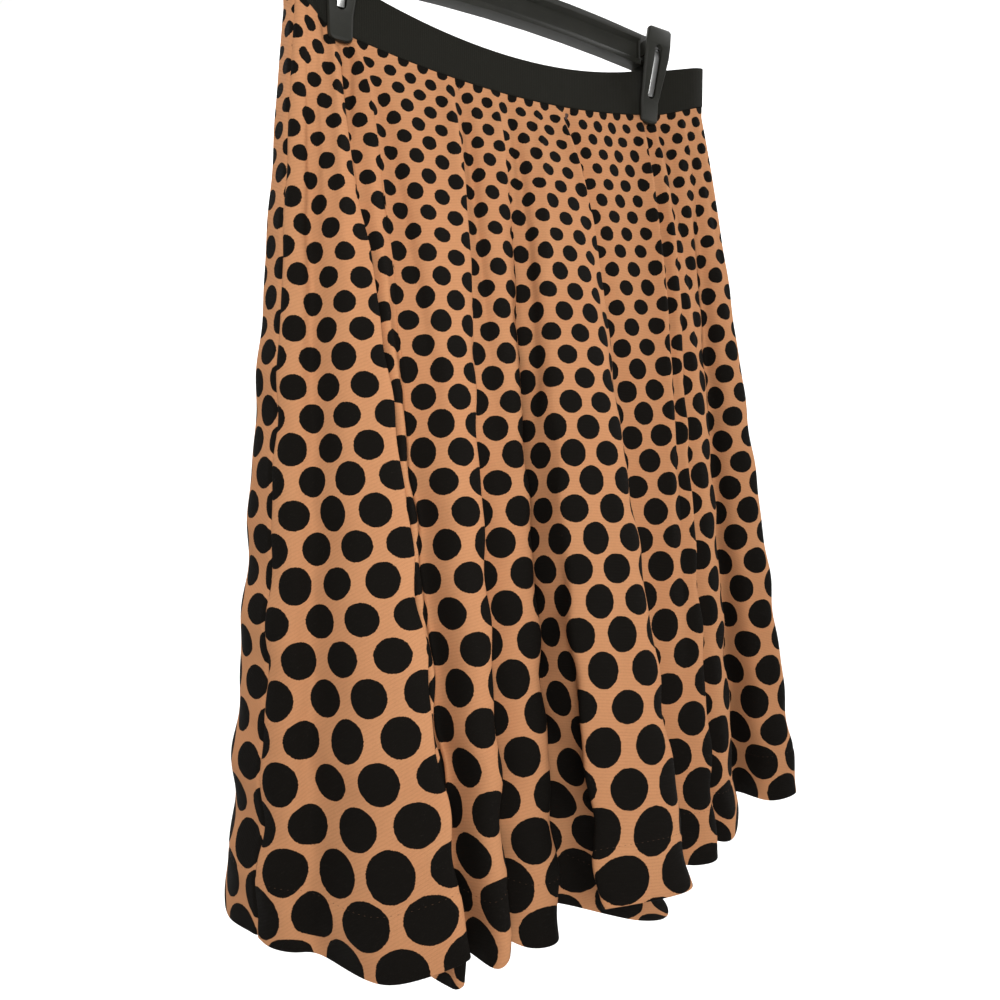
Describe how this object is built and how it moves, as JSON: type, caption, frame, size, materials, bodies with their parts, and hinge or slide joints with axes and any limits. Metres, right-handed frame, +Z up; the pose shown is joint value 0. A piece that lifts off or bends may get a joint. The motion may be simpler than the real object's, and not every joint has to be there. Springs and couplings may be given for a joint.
{
  "type": "circle skirt on a clip hanger",
  "caption": "Flared knit circle skirt with uneven hanging folds and a wide elastic waistband, pinched between the clips of a moulded skirt hanger with a hook.",
  "frame": {"origin": "top of the space inside the hanger's hook, where a rail carries it", "axes": "+Z up, +X along the hanger towards the wearer's left side, -Y out of the skirt's front"},
  "size_m": [0.4971, 0.2531, 0.7717],
  "materials": {
    "dotted_knit": "fine two-colour jacquard knit, camel with black dots that grow towards the hem, matte",
    "band_rib": "black covered elastic, matte",
    "hanger_plastic": "black moulded plastic, satin",
    "spring_steel": "bright spring steel strip"
  },
  "bodies": {
    "root": {"skirt_front": "dotted_knit", "skirt_back": "dotted_knit", "waistband_front": "band_rib", "waistband_back": "band_rib", "hanger_frame": "hanger_plastic", "clip_jaw_left": "hanger_plastic", "clip_jaw_right": "hanger_plastic", "clip_spring_left": "spring_steel", "clip_spring_right": "spring_steel"}
  },
  "joints": []
}
